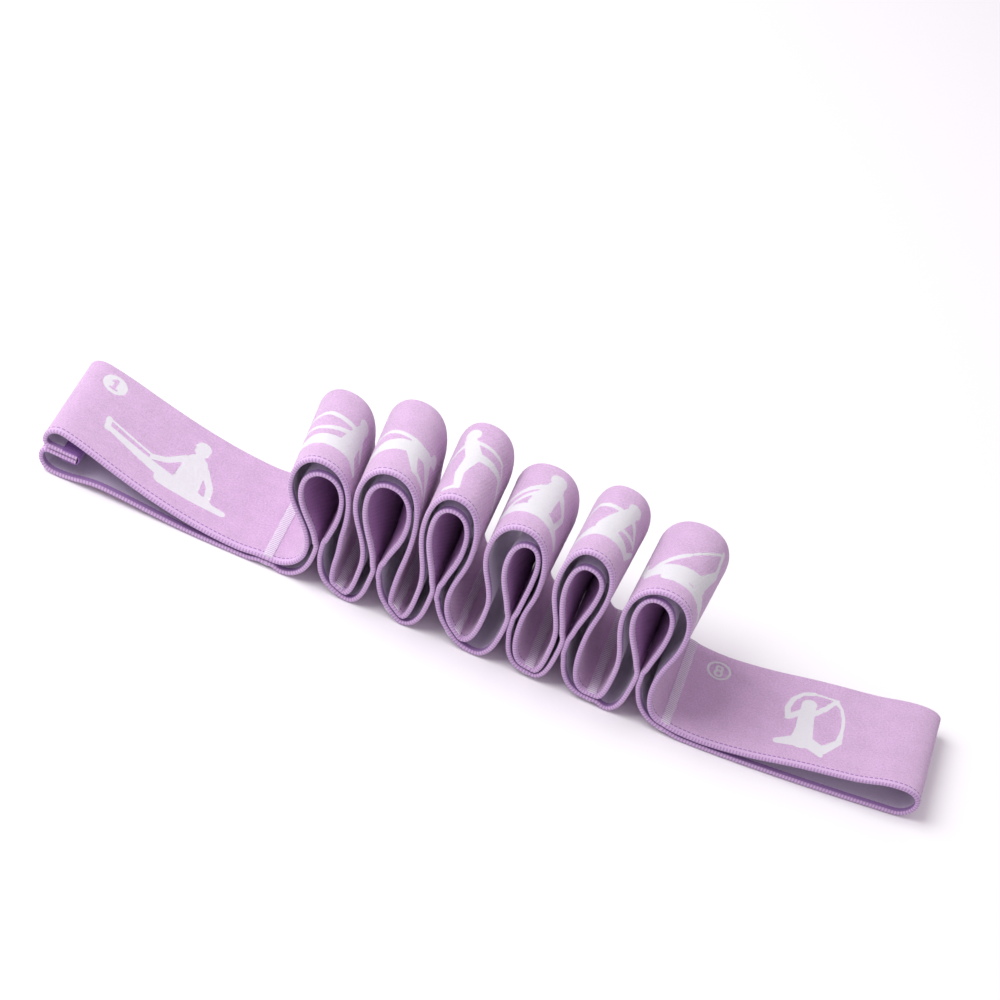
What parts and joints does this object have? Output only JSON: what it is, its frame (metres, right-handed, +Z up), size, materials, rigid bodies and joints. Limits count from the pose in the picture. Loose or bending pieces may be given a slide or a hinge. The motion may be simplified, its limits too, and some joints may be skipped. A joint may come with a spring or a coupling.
{
  "type": "stretching strap",
  "caption": "Elastic webbing stretching strap gathered like an accordion; cross-stitched seams divide it into a row of numbered foot and hand loops.",
  "frame": {"origin": "on the resting surface, under the middle of the strap's bounding box", "axes": "+X along the strap from loop 1 to loop 8, +Y across the tape away from the user, +Z up"},
  "size_m": [0.2896, 0.0476, 0.0581],
  "materials": {
    "edge_thread": "dark purple overlock thread",
    "tape_back": "matt woven elastic in grey-lilac, plain side",
    "tape_face": "soft matt woven elastic in lavender with a faint sheen",
    "seam_thread": "white polyester thread in dense bartack stitches"
  },
  "bodies": {
    "seam_4": {"seam_4_face_fold": "tape_face", "seam_4_back_fold": "tape_back", "seam_4_stitching": "seam_thread"},
    "seam_1": {"seam_1_face_fold": "tape_face", "seam_1_back_fold": "tape_back", "seam_1_stitching": "seam_thread"},
    "seam_2": {"seam_2_face_fold": "tape_face", "seam_2_back_fold": "tape_back", "seam_2_stitching": "seam_thread"},
    "seam_3": {"seam_3_face_fold": "tape_face", "seam_3_back_fold": "tape_back", "seam_3_stitching": "seam_thread"},
    "seam_5": {"seam_5_face_fold": "tape_face", "seam_5_back_fold": "tape_back", "seam_5_stitching": "seam_thread"},
    "seam_6": {"seam_6_face_fold": "tape_face", "seam_6_back_fold": "tape_back", "seam_6_stitching": "seam_thread"},
    "seam_7": {"seam_7_face_fold": "tape_face", "seam_7_back_fold": "tape_back", "seam_7_stitching": "seam_thread"},
    "loop_2_left": {"loop_2_face_left": "tape_face", "loop_2_back_left": "tape_back"},
    "loop_2_right": {"loop_2_face_right": "tape_face", "loop_2_back_right": "tape_back"},
    "loop_3_left": {"loop_3_face_left": "tape_face", "loop_3_back_left": "tape_back"},
    "loop_3_right": {"loop_3_face_right": "tape_face", "loop_3_back_right": "tape_back"},
    "loop_4_left": {"loop_4_face_left": "tape_face", "loop_4_back_left": "tape_back"},
    "loop_4_right": {"loop_4_face_right": "tape_face", "loop_4_back_right": "tape_back"},
    "loop_5_left": {"loop_5_face_left": "tape_face", "loop_5_back_left": "tape_back"},
    "loop_5_right": {"loop_5_face_right": "tape_face", "loop_5_back_right": "tape_back"},
    "loop_6_left": {"loop_6_face_left": "tape_face", "loop_6_back_left": "tape_back"},
    "loop_6_right": {"loop_6_face_right": "tape_face", "loop_6_back_right": "tape_back"},
    "loop_7_left": {"loop_7_face_left": "tape_face", "loop_7_back_left": "tape_back"},
    "loop_7_right": {"loop_7_face_right": "tape_face", "loop_7_back_right": "tape_back"},
    "loop_1": {"loop_1_face": "tape_face", "loop_1_back": "tape_back", "closing_seam_overlock": "edge_thread"},
    "loop_8": {"loop_8_tape": "tape_face"}
  },
  "joints": [
    {"name": "loop_5_left_foot", "type": "hinge", "parent": "seam_4", "child": "loop_5_left", "pos_m": [0.00805, -0.00381, 0.015], "axis": [0, 1, 0], "range_deg": [0, 45]},
    {"name": "loop_5_crest", "type": "hinge", "parent": "loop_5_left", "child": "loop_5_right", "pos_m": [0.00805, -0.00381, 0.05393], "axis": [0, -1, 0], "range_deg": [0, 90]},
    {"name": "loop_5_right_foot", "type": "hinge", "parent": "loop_5_right", "child": "seam_5", "pos_m": [0.00805, -0.00381, 0.015], "axis": [0, 1, 0], "range_deg": [0, 45]},
    {"name": "loop_6_left_foot", "type": "hinge", "parent": "seam_5", "child": "loop_6_left", "pos_m": [0.0258, -0.00381, 0.015], "axis": [0, 1, 0], "range_deg": [0, 45]},
    {"name": "loop_6_crest", "type": "hinge", "parent": "loop_6_left", "child": "loop_6_right", "pos_m": [0.0258, -0.00381, 0.05797], "axis": [0, -1, 0], "range_deg": [0, 90]},
    {"name": "loop_6_right_foot", "type": "hinge", "parent": "loop_6_right", "child": "seam_6", "pos_m": [0.0258, -0.00381, 0.015], "axis": [0, 1, 0], "range_deg": [0, 45]},
    {"name": "loop_7_left_foot", "type": "hinge", "parent": "seam_6", "child": "loop_7_left", "pos_m": [0.0504, -0.00381, 0.015], "axis": [0, 1, 0], "range_deg": [0, 45]},
    {"name": "loop_7_crest", "type": "hinge", "parent": "loop_7_left", "child": "loop_7_right", "pos_m": [0.0504, -0.00381, 0.05448], "axis": [0, -1, 0], "range_deg": [0, 90]},
    {"name": "loop_7_right_foot", "type": "hinge", "parent": "loop_7_right", "child": "seam_7", "pos_m": [0.0504, -0.00381, 0.015], "axis": [0, 1, 0], "range_deg": [0, 45]},
    {"name": "loop_4_right_foot", "type": "hinge", "parent": "seam_4", "child": "loop_4_right", "pos_m": [-0.0161, -0.00381, 0.015], "axis": [0, -1, 0], "range_deg": [0, 45]},
    {"name": "loop_4_crest", "type": "hinge", "parent": "loop_4_right", "child": "loop_4_left", "pos_m": [-0.0161, -0.00381, 0.05674], "axis": [0, 1, 0], "range_deg": [0, 90]},
    {"name": "loop_4_left_foot", "type": "hinge", "parent": "loop_4_left", "child": "seam_3", "pos_m": [-0.0161, -0.00381, 0.015], "axis": [0, -1, 0], "range_deg": [0, 45]},
    {"name": "loop_3_right_foot", "type": "hinge", "parent": "seam_3", "child": "loop_3_right", "pos_m": [-0.03505, -0.00381, 0.015], "axis": [0, -1, 0], "range_deg": [0, 45]},
    {"name": "loop_3_crest", "type": "hinge", "parent": "loop_3_right", "child": "loop_3_left", "pos_m": [-0.03505, -0.00381, 0.0555], "axis": [0, 1, 0], "range_deg": [0, 90]},
    {"name": "loop_3_left_foot", "type": "hinge", "parent": "loop_3_left", "child": "seam_2", "pos_m": [-0.03505, -0.00381, 0.015], "axis": [0, -1, 0], "range_deg": [0, 45]},
    {"name": "loop_2_right_foot", "type": "hinge", "parent": "seam_2", "child": "loop_2_right", "pos_m": [-0.05375, -0.00381, 0.015], "axis": [0, -1, 0], "range_deg": [0, 45]},
    {"name": "loop_2_crest", "type": "hinge", "parent": "loop_2_right", "child": "loop_2_left", "pos_m": [-0.05375, -0.00381, 0.0473], "axis": [0, 1, 0], "range_deg": [0, 90]},
    {"name": "loop_2_left_foot", "type": "hinge", "parent": "loop_2_left", "child": "seam_1", "pos_m": [-0.05375, -0.00381, 0.015], "axis": [0, -1, 0], "range_deg": [0, 45]},
    {"name": "loop_1_lift", "type": "hinge", "parent": "seam_1", "child": "loop_1", "pos_m": [-0.0704, -0.00381, 0.00466], "axis": [0, 1, 0], "range_deg": [0, 60]},
    {"name": "loop_8_lift", "type": "hinge", "parent": "seam_7", "child": "loop_8", "pos_m": [0.0656, -0.00381, 0.00491], "axis": [0, -1, 0], "range_deg": [0, 60]}
  ],
  "couplings": [
    {"joint": "loop_5_crest", "follows": "loop_5_left_foot", "ratio": 2},
    {"joint": "loop_5_right_foot", "follows": "loop_5_left_foot", "ratio": 1},
    {"joint": "loop_6_left_foot", "follows": "loop_5_left_foot", "ratio": 1},
    {"joint": "loop_6_crest", "follows": "loop_5_left_foot", "ratio": 2},
    {"joint": "loop_6_right_foot", "follows": "loop_5_left_foot", "ratio": 1},
    {"joint": "loop_7_left_foot", "follows": "loop_5_left_foot", "ratio": 1},
    {"joint": "loop_7_crest", "follows": "loop_5_left_foot", "ratio": 2},
    {"joint": "loop_7_right_foot", "follows": "loop_5_left_foot", "ratio": 1},
    {"joint": "loop_4_right_foot", "follows": "loop_5_left_foot", "ratio": 1},
    {"joint": "loop_4_crest", "follows": "loop_5_left_foot", "ratio": 2},
    {"joint": "loop_4_left_foot", "follows": "loop_5_left_foot", "ratio": 1},
    {"joint": "loop_3_right_foot", "follows": "loop_5_left_foot", "ratio": 1},
    {"joint": "loop_3_crest", "follows": "loop_5_left_foot", "ratio": 2},
    {"joint": "loop_3_left_foot", "follows": "loop_5_left_foot", "ratio": 1},
    {"joint": "loop_2_right_foot", "follows": "loop_5_left_foot", "ratio": 1},
    {"joint": "loop_2_crest", "follows": "loop_5_left_foot", "ratio": 2},
    {"joint": "loop_2_left_foot", "follows": "loop_5_left_foot", "ratio": 1}
  ]
}
